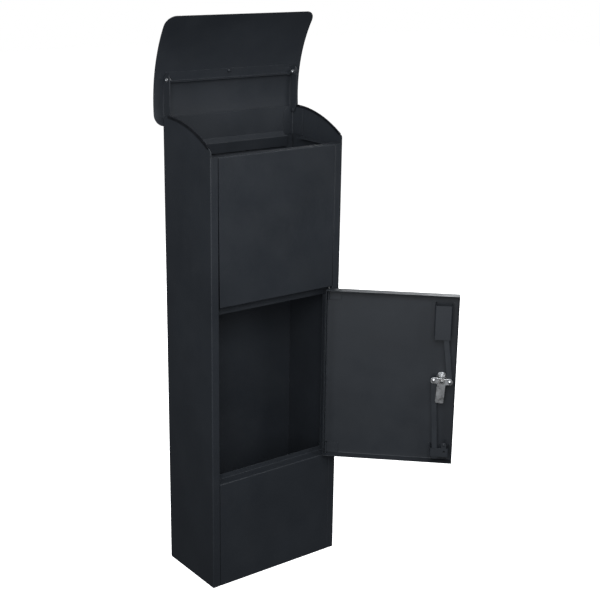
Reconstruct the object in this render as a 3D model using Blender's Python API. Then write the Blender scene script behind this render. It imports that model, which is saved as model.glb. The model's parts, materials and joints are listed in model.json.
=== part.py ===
"""Free-standing parcel drop box.

A tall folded-sheet column takes parcels through its open top, under a curved lid that turns
on two short pins behind the mouth. A pan-shaped front door on two pivot pins lets the owner
empty it, and a three-point cam lock with two rods bolts the door at the side, top and bottom.

Rest pose: lid open, door swung open, lock cam in its unlocked position.
X runs to the right, Y to the back and Z up. The origin is the centre of the underside.
"""

import math

import bmesh
import bpy
from mathutils import Matrix, Vector

# Housing
WIDTH = 0.3600
DEPTH = 0.1940
SHEET = 0.0012
BEND = 0.0020
GAP = 0.0003
RUNNING = 0.0001
FLANGE = 0.0207
BACK_RETURN = 0.0200
STOP_SETBACK = 0.0260
SIDE_LIP = 0.0280
MOUTH_Z = 1.0290
PANEL_GAP = 0.0008
TOP_RETURN = 0.0200

# Door opening
OPENING_LOW = 0.2628
OPENING_HIGH = 0.6900
LIP_LOW = 0.2745
LIP_HIGH = 0.6670

# Side panel's curved top and the lid that closes on it
ARC_CENTRE = (0.0775, 0.7777)
LID_RADIUS = 0.3200
LID_CLEARANCE = 0.0015
LID_HINGE = (0.0875, 1.0841)
LID_OPEN_DEG = 95.0
LID_OVERHANG = 0.0200
LID_REAR_DEG = 86.05
LID_FRONT_DEG = 132.60
LID_CORNER = 0.0250
HINGE_CORNER = 0.0123
LID_BOLT = (0.0850, 1.1750)
STUD_X = -0.0050
PIN_RADIUS = 0.0022
TRIM_WALL = 0.0008
TRIM_REACH = 0.0045
TRIM_SPAN = (90.4, 121.4)

# Door pan, in the closed position
PAN_LEFT = -0.1560
PAN_RIGHT = 0.1570
PAN_LOW = 0.2645
PAN_HIGH = 0.6865
PAN_DEPTH = 0.0250
DOOR_OPEN_DEG = 136.0
PIVOT = (0.1523, 0.0032)
PIVOT_PIN_RADIUS = 0.0015
KNUCKLE_RADIUS = 0.0032
KNUCKLE_LENGTH = 0.0276

# Lock, with depths counted from the door's front face
LOCK_X = -0.1229
LOCK_Z = 0.4793
CAM_REACH = 0.0545
CAM_ARM = 0.0190
CAM_END = 0.0074
CAM_TONGUE = 0.0100
CAM_TILT_DEG = 4.0
GUIDE_SCREW = (-0.1353, 0.3163)
GUIDE_HOLE = (-0.1367, 0.2993)
CAM_NEAR = 0.0320
CAM_FAR = 0.0360
ROD_NEAR = 0.0286
ROD_FAR = 0.0316
ROD_HALF = 0.0062
ROD_EYE = 0.0070
ROD_PIN_RADIUS = 0.0023
ROD_UPPER_END = (-0.1190, 0.6630)
ROD_LOWER_END = (-0.1150, 0.2790)

FRONT = -DEPTH / 2
BACK = DEPTH / 2
LEFT = -WIDTH / 2
RIGHT = WIDTH / 2
HALF = SHEET / 2

PAINT = {"name": "painted_sheet", "color": (0.045, 0.052, 0.060), "rough": 0.55, "metal": 0.0}
ZINC = {"name": "zinc", "color": (0.62, 0.63, 0.64), "rough": 0.32, "metal": 1.0}
STEEL = {"name": "steel", "color": (0.50, 0.51, 0.52), "rough": 0.38, "metal": 1.0}
CHROME = {"name": "chrome", "color": (0.75, 0.76, 0.77), "rough": 0.15, "metal": 1.0}
RUBBER = {"name": "rubber", "color": (0.012, 0.012, 0.013), "rough": 0.6, "metal": 0.0}
ROD_BLACK = {"name": "rod_black", "color": (0.055, 0.060, 0.066), "rough": 0.45, "metal": 0.0}


def clear_scene():
    """Remove every object that is already in the scene."""
    for item in list(bpy.data.objects):
        bpy.data.objects.remove(item, do_unlink=True)


def finish_material(node_name, look):
    """One Principled material per piece."""
    material = bpy.data.materials.new(f"{node_name}_{look['name']}")
    material.use_nodes = True
    shader = material.node_tree.nodes["Principled BSDF"]
    shader.inputs["Base Color"].default_value = (*look["color"], 1.0)
    shader.inputs["Roughness"].default_value = look["rough"]
    shader.inputs["Metallic"].default_value = look["metal"]
    return material


def make_object(name, work, look):
    """Turn a bmesh into a named object with its material."""
    bmesh.ops.recalc_face_normals(work, faces=work.faces)
    mesh = bpy.data.meshes.new(name)
    work.to_mesh(mesh)
    work.free()
    item = bpy.data.objects.new(name, mesh)
    bpy.context.scene.collection.objects.link(item)
    if look is not None:
        mesh.materials.append(finish_material(name, look))
    return item


def smooth(item, degrees=35.0):
    """Shade a round piece smooth and keep its hard edges."""
    for face in item.data.polygons:
        face.use_smooth = True
    item.data.set_sharp_from_angle(angle=math.radians(degrees))
    return item


def place(axis, point, level):
    """Point of a section lying across the given axis."""
    if axis == "X":
        return (level, point[0], point[1])
    if axis == "Y":
        return (point[0], level, point[1])
    return (point[0], point[1], level)


def prism(name, outline, axis, low, high, look=None):
    """Closed solid with the same outline from low to high along an axis."""
    work = bmesh.new()
    lower = [work.verts.new(place(axis, point, low)) for point in outline]
    upper = [work.verts.new(place(axis, point, high)) for point in outline]
    for index in range(len(outline)):
        after = (index + 1) % len(outline)
        work.faces.new((lower[index], lower[after], upper[after], upper[index]))
    work.faces.new(lower)
    work.faces.new(list(reversed(upper)))
    return make_object(name, work, look)


def block(name, low, high, look=None):
    """Closed box between two corners."""
    outline = [(low[0], low[1]), (high[0], low[1]), (high[0], high[1]), (low[0], high[1])]
    return prism(name, outline, "Z", low[2], high[2], look)


def turned(name, profile, axis, centre, look=None, segments=32, tube=False):
    """Solid of revolution: the profile lists (radius, position along the axis)."""
    work = bmesh.new()
    rings = []
    for radius, level in profile:
        ring = []
        for index in range(segments):
            angle = 2 * math.pi * index / segments
            point = (centre[0] + radius * math.cos(angle), centre[1] + radius * math.sin(angle))
            ring.append(work.verts.new(place(axis, point, level)))
        rings.append(ring)
    pairs = list(zip(rings, rings[1:]))
    if tube:
        pairs.append((rings[-1], rings[0]))
    for first, second in pairs:
        for index in range(segments):
            after = (index + 1) % segments
            work.faces.new((first[index], first[after], second[after], second[index]))
    if not tube:
        work.faces.new(rings[0])
        work.faces.new(list(reversed(rings[-1])))
    return smooth(make_object(name, work, look))


def combine(target, tool, operation):
    """Apply an exact boolean with a helper solid and remove the helper."""
    step = target.modifiers.new("step", "BOOLEAN")
    step.operation = operation
    step.solver = "EXACT"
    step.object = tool
    graph = bpy.context.evaluated_depsgraph_get()
    mesh = bpy.data.meshes.new_from_object(target.evaluated_get(graph))
    target.modifiers.clear()
    target.data = mesh
    bpy.data.objects.remove(tool, do_unlink=True)
    return target


def cut(target, tool):
    """Take the helper solid out of the target."""
    return combine(target, tool, "DIFFERENCE")


def join(target, tool):
    """Add the helper solid to the target."""
    return combine(target, tool, "UNION")


def rounded_line(points, radius, steps=3):
    """Middle line of a folded sheet as (point, normal) pairs, with an arc at every bend."""
    spots = [Vector(point) for point in points]
    first = (spots[1] - spots[0]).normalized()
    line = [(spots[0], Vector((-first.y, first.x)))]
    for before, corner, after in zip(spots, spots[1:], spots[2:]):
        enter = (corner - before).normalized()
        leave = (after - corner).normalized()
        turn = math.atan2(enter.x * leave.y - enter.y * leave.x, enter.dot(leave))
        side = math.copysign(1.0, turn)
        normal = Vector((-enter.y, enter.x))
        start = corner - enter * radius * math.tan(abs(turn) / 2)
        centre = start + normal * side * radius
        for step in range(steps + 1):
            swung = Matrix.Rotation(turn * step / steps, 2) @ normal
            line.append((centre - swung * side * radius, swung))
    last = (spots[-1] - spots[-2]).normalized()
    line.append((spots[-1], Vector((-last.y, last.x))))
    return line


def folded(points, thickness=SHEET, radius=BEND):
    """Closed outline of a folded sheet around its middle line."""
    line = rounded_line(points, radius)
    near = [tuple(spot + normal * thickness / 2) for spot, normal in line]
    far = [tuple(spot - normal * thickness / 2) for spot, normal in line]
    return near + far[::-1]


def arc(centre, radius, start_deg, end_deg, steps):
    """Points on an arc, both ends included."""
    points = []
    for step in range(steps + 1):
        angle = math.radians(start_deg + (end_deg - start_deg) * step / steps)
        points.append((centre[0] + radius * math.cos(angle), centre[1] + radius * math.sin(angle)))
    return points


def rounded_rectangle(low, high, radius, steps=8):
    """Outline of a rectangle with equal corner radii."""
    points = arc((high[0] - radius, high[1] - radius), radius, 0, 90, steps)
    points += arc((low[0] + radius, high[1] - radius), radius, 90, 180, steps)
    points += arc((low[0] + radius, low[1] + radius), radius, 180, 270, steps)
    points += arc((high[0] - radius, low[1] + radius), radius, 270, 360, steps)
    return points


def spin(point, centre, degrees):
    """Turn a point about a centre in its own plane."""
    angle = math.radians(degrees)
    across = point[0] - centre[0]
    up = point[1] - centre[1]
    return (
        centre[0] + across * math.cos(angle) - up * math.sin(angle),
        centre[1] + across * math.sin(angle) + up * math.cos(angle),
    )


def side_top_outline():
    """Section that trims a side panel: curved top, rounded rear corner, rounded front corner."""
    radius = LID_RADIUS - LID_CLEARANCE
    rear = math.degrees(math.acos((LID_HINGE[0] - ARC_CENTRE[0]) / radius))
    points = [(FRONT - 0.005, -0.010), (LID_HINGE[0] + HINGE_CORNER, -0.010)]
    points += arc(LID_HINGE, HINGE_CORNER - 0.0004, 0, 84, 8)
    points += arc(ARC_CENTRE, radius, rear, 121.6, 22)
    points += [(FRONT + 0.0031, 1.0462), (FRONT + 0.0009, 1.0425), (FRONT - 0.0008, 1.0370)]
    points += [(FRONT - 0.005, 1.0300)]
    return points


def make_side_panel(name, side):
    """Side sheet with a front flange, the door reveal behind it, a stop lip and a rear return."""
    wall = side * (WIDTH / 2 - HALF)
    reveal = side * (WIDTH / 2 - FLANGE + HALF)
    points = [
        (side * (WIDTH / 2 - BACK_RETURN), BACK - HALF),
        (wall, BACK - HALF),
        (wall, FRONT + HALF),
        (reveal, FRONT + HALF),
        (reveal, FRONT + STOP_SETBACK + HALF),
        (side * (WIDTH / 2 - SIDE_LIP), FRONT + STOP_SETBACK + HALF),
    ]
    panel = prism(name, folded(points), "Z", 0.0, 1.110, PAINT)
    combine(panel, prism("trim", side_top_outline(), "X", LEFT - 0.01, RIGHT + 0.01), "INTERSECT")
    inner = side * (WIDTH / 2 - 0.0030)
    deep = side * (WIDTH / 2 - 0.0400)
    low, high = sorted((inner, deep))
    cut(panel, block("mouth", (low, FRONT - 0.01, MOUTH_Z), (high, FRONT + 0.04, 1.2)))
    low, high = sorted((side * (WIDTH / 2 - FLANGE - 0.0005), deep))
    for bottom, top in ((-0.01, LIP_LOW + 0.0010), (LIP_HIGH - 0.0010, 1.2)):
        cut(panel, block("lip", (low, FRONT + 0.020, bottom), (high, FRONT + 0.04, top)))
    low, high = sorted((side * (WIDTH / 2 - FLANGE + 0.0008), side * (WIDTH / 2 - HALF)))
    near = (low, FRONT + HALF, MOUTH_Z - SHEET)
    join(panel, block("cap", near, (high, FRONT + STOP_SETBACK + HALF, MOUTH_Z)))
    return panel


def make_edge_trims():
    """Soft U-shaped trim pressed over each side panel's curved edge."""
    edge = LID_RADIUS - LID_CLEARANCE
    foot = edge - TRIM_REACH
    seat = edge + GAP
    top = seat + TRIM_WALL
    start, end = TRIM_SPAN
    for name, side in (("edge_trim_left", -1), ("edge_trim_right", 1)):
        outer = side * (WIDTH / 2 + GAP)
        inner = side * (WIDTH / 2 - SHEET - GAP)
        layers = (
            (seat, outer + side * TRIM_WALL, inner - side * TRIM_WALL),
            (foot, outer, outer + side * TRIM_WALL),
            (foot, inner, inner - side * TRIM_WALL),
        )
        trim = None
        for low_radius, first, second in layers:
            outline = arc(ARC_CENTRE, low_radius, start, end, 24)
            outline += arc(ARC_CENTRE, top, end, start, 24)
            low, high = sorted((first, second))
            if trim is None:
                trim = prism(name, outline, "X", low, high, RUBBER)
            else:
                join(trim, prism("leg", outline, "X", low, high))


def make_back_panel():
    """Flat rear sheet between the side returns."""
    low = (LEFT + SHEET + 0.0010, BACK - SHEET - GAP - SHEET, 0.0026)
    high = (RIGHT - SHEET - 0.0010, BACK - SHEET - GAP, 1.0930)
    return block("back_panel", low, high, PAINT)


def make_front_panels():
    """Upper and lower front sheets, folded back at the door opening to form its stop lips."""
    left = LEFT + FLANGE + PANEL_GAP
    right = RIGHT - FLANGE - PANEL_GAP
    stop = FRONT + STOP_SETBACK + HALF
    upper = [
        (FRONT + TOP_RETURN, MOUTH_Z - HALF),
        (FRONT + HALF, MOUTH_Z - HALF),
        (FRONT + HALF, OPENING_HIGH + HALF),
        (stop, OPENING_HIGH + HALF),
        (stop, LIP_HIGH),
    ]
    lower = [
        (stop, LIP_LOW),
        (stop, OPENING_LOW - HALF),
        (FRONT + HALF, OPENING_LOW - HALF),
        (FRONT + HALF, 0.0),
    ]
    hole = (PIVOT[0], FRONT + PIVOT[1])
    for name, points, level in (
        ("front_panel_upper", upper, OPENING_HIGH),
        ("front_panel_lower", lower, OPENING_LOW),
    ):
        panel = prism(name, folded(points), "X", left, right, PAINT)
        radius = PIVOT_PIN_RADIUS + RUNNING
        profile = [(radius, level - 0.0016), (radius, level + 0.0016)]
        cut(panel, turned("bore", profile, "Z", hole, segments=24))


def make_base_plate():
    """Floor of the box, notched around the front flanges, with holes for ground anchors."""
    side = WIDTH / 2 - SHEET - GAP
    inner = WIDTH / 2 - FLANGE - PANEL_GAP
    front = FRONT + SHEET + GAP
    notch = FRONT + STOP_SETBACK + 0.0022
    rear = BACK - SHEET - GAP
    outline = [(-inner, front), (inner, front), (inner, notch), (side, notch)]
    outline += [(side, rear - 0.0015), (side - 0.0015, rear), (-side + 0.0015, rear)]
    outline += [(-side, rear - 0.0015), (-side, notch), (-inner, notch)]
    plate = prism("base_plate", outline, "Z", 0.0, 0.0020, PAINT)
    for across in (-0.125, 0.125):
        for back in (-0.045, 0.055):
            profile = [(0.0055, -0.01), (0.0055, 0.01)]
            cut(plate, turned("hole", profile, "Z", (across, back), segments=20))


def make_head():
    """Plate behind the mouth with a sloped step and a lower band, and the mouth's two rails."""
    plate_y = BACK - 0.0038
    step_y = BACK - 0.0140
    points = [(plate_y, 1.0910), (plate_y, 1.0340), (step_y, 1.0235), (step_y + 0.0042, 0.9985)]
    plate = prism("head_plate", folded(points), "X", LEFT + 0.024, RIGHT - 0.024, PAINT)
    for side in (-1, 1):
        low, high = sorted((side * (WIDTH / 2 - 0.0300), side * WIDTH / 2))
        cut(plate, block("corner", (low, BACK - 0.02, 1.0255), (high, BACK + 0.01, 1.2)))
    for name, side in (("mouth_rail_left", -1), ("mouth_rail_right", 1)):
        wall = side * (WIDTH / 2 - SHEET - GAP - HALF)
        edge = side * (WIDTH / 2 - 0.0220)
        points = [(wall, 1.0080), (wall, 1.0230), (edge, 1.0230)]
        prism(name, folded(points), "Y", FRONT + 0.0285, FRONT + 0.1455, PAINT)


def make_hinge_brackets():
    """Upright brackets inside the side panels that hold the lid's pins."""
    for name, side in (("hinge_bracket_left", -1), ("hinge_bracket_right", 1)):
        cheek = side * (WIDTH / 2 - SHEET - GAP - HALF - 0.0001)
        foot = side * (WIDTH / 2 - 0.0293)
        points = [(cheek, BACK - 0.0450), (cheek, BACK - 0.0038), (foot, BACK - 0.0038)]
        bracket = prism(name, folded(points), "Z", 1.0260, 1.0900, PAINT)
        low, high = sorted((side * (WIDTH / 2 - 0.0031), side * (WIDTH / 2 - 0.0080)))
        cut(bracket, block("clear", (low, BACK - 0.02, 1.0765), (high, BACK + 0.01, 1.2)))
        corner = side * (WIDTH / 2 - 0.0310)
        inner = side * (WIDTH / 2 - 0.0190)
        outline = [(corner, 1.0780), (corner, 1.1000), (inner, 1.1000), (inner, 1.0905)]
        cut(bracket, prism("corner", outline, "Y", BACK - 0.02, BACK + 0.01))
        low, high = sorted((side * (WIDTH / 2), side * (WIDTH / 2 - 0.0100)))
        profile = [(PIN_RADIUS + RUNNING, low), (PIN_RADIUS + RUNNING, high)]
        cut(bracket, turned("bore", profile, "X", LID_HINGE, segments=24))


def make_lid_hinge_pins():
    """Short headed pins through the brackets; the lid arms turn on them."""
    for name, side in (("lid_hinge_pin_left", -1), ("lid_hinge_pin_right", 1)):
        start = side * (WIDTH / 2 - SHEET - 0.0004)
        seat = side * (WIDTH / 2 - 0.0071)
        end = side * (WIDTH / 2 - 0.0088)
        profile = [(PIN_RADIUS, start), (PIN_RADIUS, seat), (0.0040, seat)]
        profile += [(0.0040, end + side * 0.0004), (0.0034, end)]
        turned(name, profile, "X", LID_HINGE, PAINT, segments=24)


def make_door_pivot_pins():
    """Headed pins that drop through the frame's folds into the door's knuckles."""
    centre = (PIVOT[0], FRONT + PIVOT[1])
    thin = PIVOT_PIN_RADIUS
    head = 0.0019
    top = OPENING_HIGH + SHEET + GAP
    profile = [(thin, PAN_HIGH - KNUCKLE_LENGTH + 0.002), (thin, top + 0.0014)]
    profile += [(head, top + 0.0014), (head, top + 0.0030), (head - 0.0006, top + 0.0036)]
    turned("door_pivot_pin_upper", profile, "Z", centre, STEEL, segments=24)
    low = OPENING_LOW - SHEET - GAP
    profile = [(head - 0.0006, low - 0.0036), (head, low - 0.0030), (head, low - 0.0014)]
    profile += [(thin, low - 0.0014), (thin, PAN_LOW + KNUCKLE_LENGTH - 0.002)]
    turned("door_pivot_pin_lower", profile, "Z", centre, STEEL, segments=24)


def open_point(point):
    """Carry a point of the closed lid to the open position."""
    return spin(point, LID_HINGE, -LID_OPEN_DEG)


def lid_frame():
    """Centre of the open lid's curve and its middle direction."""
    centre = open_point(ARC_CENTRE)
    middle = (LID_REAR_DEG + LID_FRONT_DEG) / 2 - LID_OPEN_DEG
    return centre, middle


def polar(centre, radius, degrees, along=0.0):
    """Point at a radius from the centre, then shifted along the tangent."""
    angle = math.radians(degrees)
    across = radius * math.cos(angle) - along * math.sin(angle)
    up = radius * math.sin(angle) + along * math.cos(angle)
    return (centre[0] + across, centre[1] + up)


def make_lid_shell():
    """Curved lid sheet with four rounded corners, modelled open."""
    centre, middle = lid_frame()
    half_span = (LID_FRONT_DEG - LID_REAR_DEG) / 2
    inner = arc(centre, LID_RADIUS, middle - half_span - 1.5, middle + half_span + 1.5, 30)
    outer = arc(centre, LID_RADIUS + SHEET, middle + half_span + 1.5, middle - half_span - 1.5, 30)
    reach = WIDTH / 2 + LID_OVERHANG
    lid = prism("lid_shell", inner + outer, "X", -reach - 0.005, reach + 0.005, PAINT)
    chord = LID_RADIUS * math.sin(math.radians(half_span))
    outline = rounded_rectangle((-reach, -chord), (reach, chord), LID_CORNER)
    tool = prism("corners", outline, "Y", 0.200, 0.400)
    lean = Matrix.Rotation(math.radians(middle), 4, "X")
    tool.data.transform(Matrix.Translation((0.0, centre[0], centre[1])) @ lean)
    combine(lid, tool, "INTERSECT")
    return [smooth(lid, 25.0)]


def make_lid_strip():
    """Cross strip inside the lid with an ear at each end for the lid arms."""
    centre, _ = lid_frame()
    at = 10.5
    radius = LID_RADIUS - HALF - 0.00045
    points = [polar(centre, radius, at, 0.0125), polar(centre, radius, at, -0.009)]
    points.append(polar(centre, radius - 0.009, at, -0.009))
    strip = prism("lid_strip", folded(points), "X", LEFT + 0.0076, RIGHT - 0.0076, PAINT)
    ear = [(0.0770, 1.1670), (0.0770, 1.1840), (0.0800, 1.1870), (0.0952, 1.1870)]
    ear.append((0.0988, 1.1670))
    for side in (-1, 1):
        low, high = sorted((side * (WIDTH / 2 - 0.0070), side * (WIDTH / 2 - 0.0082)))
        join(strip, prism("ear", ear, "X", low, high))
    profile = [(0.0028, LEFT), (0.0028, RIGHT)]
    cut(strip, turned("bore", profile, "X", LID_BOLT, segments=24))
    stud = [(0.0042, 0.0), (0.0042, 0.0022), (0.0034, 0.0040), (0.0018, 0.0050)]
    dome = turned("lid_centre_stud", stud, "Z", (0.0, 0.0), PAINT, segments=20)
    seat = polar(centre, radius - HALF - GAP, at, 0.0080)
    turn = Matrix.Rotation(math.radians(90.0 + at), 4, "X")
    dome.data.transform(Matrix.Translation((STUD_X, seat[0], seat[1])) @ turn)
    return [strip, dome]


def lid_arm_outline():
    """Arm from the hinge eye, past the back panel's edge, up to the lid bolt."""
    eye = arc(LID_HINGE, 0.0055, 185, 352, 14)
    rear = [(0.0936, 1.0940), (0.0970, 1.1010)]
    head = arc(LID_BOLT, 0.0120, 0, 180, 16)
    front = [(0.0730, 1.1020)]
    return eye + rear + head + front


def make_lid_arms():
    """Flat arms bolted to the strip's ears; their eyes turn on the lid pins."""
    pieces = []
    for word, side in (("left", -1), ("right", 1)):
        low, high = sorted((side * (WIDTH / 2 - 0.0042), side * (WIDTH / 2 - 0.0067)))
        arm = prism(f"lid_arm_{word}", lid_arm_outline(), "X", low, high, PAINT)
        bore = [(PIN_RADIUS + RUNNING, low - 0.01), (PIN_RADIUS + RUNNING, high + 0.01)]
        cut(arm, turned("bore", bore, "X", LID_HINGE, segments=24))
        bore = [(0.0028, low - 0.01), (0.0028, high + 0.01)]
        cut(arm, turned("bore", bore, "X", LID_BOLT, segments=24))
        profile = [(0.0040, 0.0026), (0.0050, 0.0031), (0.0050, 0.0039), (0.0025, 0.0039)]
        profile += [(0.0025, 0.0138), (0.0021, 0.0142)]
        profile = [(radius, side * (WIDTH / 2 - level)) for radius, level in profile]
        bolt = turned(f"lid_bolt_{word}", profile, "X", LID_BOLT, ZINC, segments=24)
        low, high = sorted((side * (WIDTH / 2 - 0.0085), side * (WIDTH / 2 - 0.0122)))
        nut = prism(f"lid_nut_{word}", arc(LID_BOLT, 0.0050, 0, 300, 5), "X", low, high, ZINC)
        bore = [(0.0028, low - 0.01), (0.0028, high + 0.01)]
        cut(nut, turned("bore", bore, "X", LID_BOLT, segments=24))
        pieces += [arm, bolt, nut]
    return pieces


def hang(pieces, empty_name, location, turn_deg=0.0):
    """Parent pieces to an empty on their joint axis, then turn the empty."""
    empty = bpy.data.objects.new(empty_name, None)
    bpy.context.scene.collection.objects.link(empty)
    shift = Matrix.Translation(-Vector(location))
    for piece in pieces:
        if piece.parent is None:
            piece.data.transform(shift)
            piece.parent = empty
    empty.location = location
    empty.rotation_euler = (0.0, 0.0, math.radians(turn_deg))
    return empty


def make_door_pan():
    """Door sheet with flanges all round, a lock hole and a notch for each knuckle."""
    low = (PAN_LEFT, FRONT, PAN_LOW)
    high = (PAN_RIGHT, FRONT + PAN_DEPTH, PAN_HIGH)
    pan = block("door_pan", low, high, PAINT)
    round_front_edges(pan, BEND + HALF)
    inner = block(
        "inside",
        (PAN_LEFT + SHEET, FRONT + SHEET, PAN_LOW + SHEET),
        (PAN_RIGHT - SHEET, FRONT + PAN_DEPTH + 0.01, PAN_HIGH - SHEET),
    )
    round_front_edges(inner, BEND - HALF)
    cut(pan, inner)
    edge = PIVOT[0] - KNUCKLE_RADIUS - 0.0008
    reach = KNUCKLE_LENGTH + 0.0012
    for low_z, high_z in ((PAN_LOW - 0.01, PAN_LOW + reach), (PAN_HIGH - reach, PAN_HIGH + 0.01)):
        near = (edge, FRONT - 0.01, low_z)
        far = (PAN_RIGHT + 0.01, FRONT + 0.0095, high_z)
        cut(pan, block("notch", near, far))
    profile = [(0.0098, FRONT - 0.01), (0.0098, FRONT + 0.01)]
    cut(pan, turned("bore", profile, "Y", (LOCK_X, LOCK_Z), segments=32))
    return pan


def round_front_edges(item, radius):
    """Round the four edges around the face that looks to the front."""
    work = bmesh.new()
    work.from_mesh(item.data)
    front = min(vertex.co.y for vertex in work.verts)
    edges = [
        edge for edge in work.edges
        if all(abs(vertex.co.y - front) < 1e-6 for vertex in edge.verts)
    ]
    bmesh.ops.bevel(work, geom=edges, offset=radius, segments=3, profile=0.5, affect="EDGES")
    bmesh.ops.recalc_face_normals(work, faces=work.faces)
    work.to_mesh(item.data)
    work.free()


def make_knuckles():
    """Bored barrels at the door's hinge corners, each with a leaf behind the door sheet."""
    pieces = []
    centre = (PIVOT[0], FRONT + PIVOT[1])
    levels = {
        "upper": (PAN_HIGH - KNUCKLE_LENGTH, PAN_HIGH - 0.0008),
        "lower": (PAN_LOW + 0.0008, PAN_LOW + KNUCKLE_LENGTH),
    }
    for word, (low, high) in levels.items():
        profile = [(KNUCKLE_RADIUS, low), (KNUCKLE_RADIUS, high)]
        knuckle = turned(f"door_knuckle_{word}", profile, "Z", centre, PAINT, segments=28)
        near = (PIVOT[0] - 0.0300, FRONT + 0.0018, max(low, PAN_LOW + 0.0016))
        far = (PIVOT[0] - 0.0019, FRONT + 0.0036, min(high, PAN_HIGH - 0.0016))
        join(knuckle, block("leaf", near, far))
        radius = PIVOT_PIN_RADIUS + RUNNING
        bore = [(radius, low - 0.01), (radius, high + 0.01)]
        cut(knuckle, turned("bore", bore, "Z", centre, segments=24))
        pieces.append(smooth(knuckle))
    return pieces


def make_lock_body():
    """Cylinder lock with its bezel outside, the ring nut inside and the turning plug."""
    centre = (LOCK_X, LOCK_Z)
    profile = [(0.0061, -0.0030), (0.0112, -0.0030), (0.0120, -0.0022), (0.0120, -0.0003)]
    profile += [(0.0095, -0.0003), (0.0095, 0.0275), (0.0061, 0.0275)]
    profile = [(radius, FRONT + level) for radius, level in profile]
    body = turned("lock_body", profile, "Y", centre, ZINC, tube=True)
    nut = prism(
        "lock_nut", arc(centre, 0.0138, 0, 300, 5), "Y", FRONT + 0.0015, FRONT + 0.0062, ZINC
    )
    bore = [(0.0098, FRONT - 0.01), (0.0098, FRONT + 0.02)]
    cut(nut, turned("bore", bore, "Y", centre, segments=32))
    profile = [(0.0050, -0.0036), (0.0060, -0.0028), (0.0060, 0.0280), (0.0040, 0.0280)]
    profile += [(0.0040, 0.0400), (0.0034, 0.0406)]
    profile = [(radius, FRONT + level) for radius, level in profile]
    plug = turned("lock_plug", profile, "Y", centre, CHROME, segments=32)
    slot = (LOCK_X - 0.0006, FRONT - 0.010, LOCK_Z - 0.0030)
    cut(plug, block("key_slot", slot, (LOCK_X + 0.0006, FRONT + 0.0040, LOCK_Z + 0.0030)))
    return [body, nut], [plug]


def cam_outline():
    """T shape: two short arms for the rods and a long tongue, in its unlocked position."""
    half = CAM_TONGUE
    points = arc((CAM_ARM, 0.0), CAM_END, -70, 90, 10)
    points += arc((-CAM_ARM, 0.0), CAM_END, 90, 250, 10)
    points += [(-half, -CAM_END - 0.0012)]
    points += arc((-half + 0.003, -CAM_REACH + 0.003), 0.003, 180, 270, 4)
    points += arc((half - 0.003, -CAM_REACH + 0.003), 0.003, 270, 360, 4)
    points += [(half, -CAM_END - 0.0012)]
    turned_points = [spin(point, (0.0, 0.0), CAM_TILT_DEG) for point in points]
    return [(LOCK_X + across, LOCK_Z + up) for across, up in turned_points]


def rod_pins():
    """Places of the upper and the lower rod's pin on the cam's arms."""
    centre = (LOCK_X, LOCK_Z)
    upper = spin((LOCK_X - CAM_ARM, LOCK_Z), centre, CAM_TILT_DEG)
    lower = spin((LOCK_X + CAM_ARM, LOCK_Z), centre, CAM_TILT_DEG)
    return upper, lower


def make_cam():
    """Cam, its washer and nut, and a rivet for each rod."""
    centre = (LOCK_X, LOCK_Z)
    cam = prism("lock_cam", cam_outline(), "Y", FRONT + CAM_NEAR, FRONT + CAM_FAR, ZINC)
    spots = [(centre, 0.0043), (rod_pins()[0], 0.0026), (rod_pins()[1], 0.0026)]
    for spot, radius in spots:
        bore = [(radius, FRONT + 0.02), (radius, FRONT + 0.05)]
        cut(cam, turned("bore", bore, "Y", spot, segments=24))
    profile = [(0.0043, 0.0363), (0.0080, 0.0363), (0.0080, 0.0373), (0.0043, 0.0373)]
    profile = [(radius, FRONT + level) for radius, level in profile]
    washer = turned("cam_washer", profile, "Y", centre, STEEL, segments=28, tube=True)
    nut = prism(
        "cam_nut", arc(centre, 0.0068, 15, 315, 5), "Y", FRONT + 0.0376, FRONT + 0.0402, STEEL
    )
    bore = [(0.0043, FRONT + 0.02), (0.0043, FRONT + 0.05)]
    cut(nut, turned("bore", bore, "Y", centre, segments=24))
    pieces = [cam, washer, nut]
    for word, spot in zip(("upper", "lower"), rod_pins()):
        thin = ROD_PIN_RADIUS
        profile = [(0.0036, 0.0272), (0.0040, 0.0276), (0.0040, 0.0283), (thin, 0.0283)]
        profile += [(thin, 0.0363), (0.0042, 0.0363), (0.0042, 0.0372), (0.0028, 0.0382)]
        profile = [(radius, FRONT + level) for radius, level in profile]
        pieces.append(turned(f"rod_pin_{word}", profile, "Y", spot, ZINC, segments=24))
    return pieces


def make_rod(name, pin, end):
    """Flat rod from its pin on the cam to the end that slides behind the frame's lip."""
    length = math.hypot(end[0] - pin[0], end[1] - pin[1])
    heading = math.degrees(math.atan2(end[1] - pin[1], end[0] - pin[0]))
    outline = arc((0.0, 0.0), ROD_EYE, 65, 295, 12)
    outline += [(length, -ROD_HALF), (length, ROD_HALF)]
    outline = [spin(point, (0.0, 0.0), heading) for point in outline]
    outline = [(pin[0] + across, pin[1] + up) for across, up in outline]
    rod = prism(name, outline, "Y", FRONT + ROD_NEAR, FRONT + ROD_FAR, ROD_BLACK)
    bore = [(ROD_PIN_RADIUS + RUNNING, FRONT + 0.02), (ROD_PIN_RADIUS + RUNNING, FRONT + 0.05)]
    return cut(rod, turned("bore", bore, "Y", pin, segments=24))


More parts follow.
